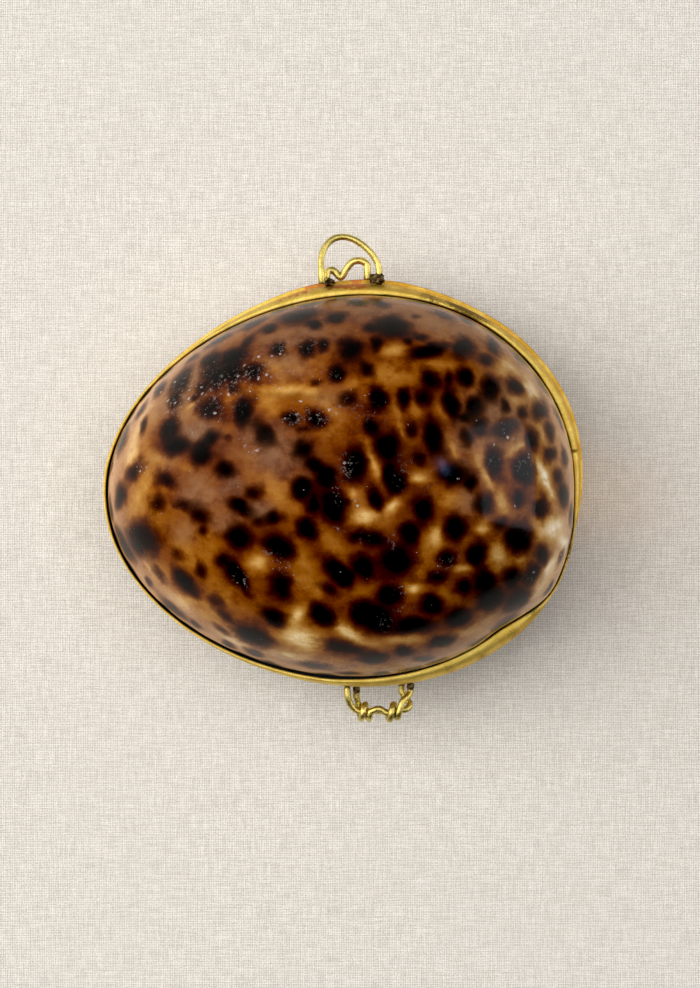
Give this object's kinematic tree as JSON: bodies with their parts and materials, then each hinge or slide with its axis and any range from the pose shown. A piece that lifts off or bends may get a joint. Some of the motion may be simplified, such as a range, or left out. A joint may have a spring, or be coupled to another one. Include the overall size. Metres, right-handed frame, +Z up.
{
  "type": "brass-mounted cowrie shell case",
  "caption": "Sawn tiger cowrie shell closed into a small case: spotted domed back, toothed base, brass collars and wire bail and link fittings.",
  "frame": {"origin": "bottom centre of the case's bounding box, on the surface that the shell's base rests on", "axes": "+Z up through the top of the domed back, +X towards the shell's fat end, +Y towards the bail"},
  "size_m": [0.0798, 0.0812, 0.043],
  "materials": {
    "shell_back": "natural gloss, amber with blurred brown-black spots",
    "shell_base": "natural gloss, cream to pale tan",
    "upper_brass": "satin, hand-filed, light patina",
    "lower_brass": "satin with brown and copper-red tarnish",
    "blackened_brass": "fire-blackened solder and brass",
    "brass_wire": "drawn wire, satin"
  },
  "bodies": {
    "root": {"upper_shell": "shell_back", "lower_shell": "shell_base", "upper_collar": "upper_brass", "lower_collar": "lower_brass", "eyelet_top_left": "blackened_brass", "eyelet_top_right": "blackened_brass", "eyelet_bottom_left": "blackened_brass", "eyelet_bottom_right": "blackened_brass", "bail": "brass_wire", "catch_wire": "brass_wire", "link_wire_left": "brass_wire", "link_wire_right": "brass_wire"}
  },
  "joints": []
}
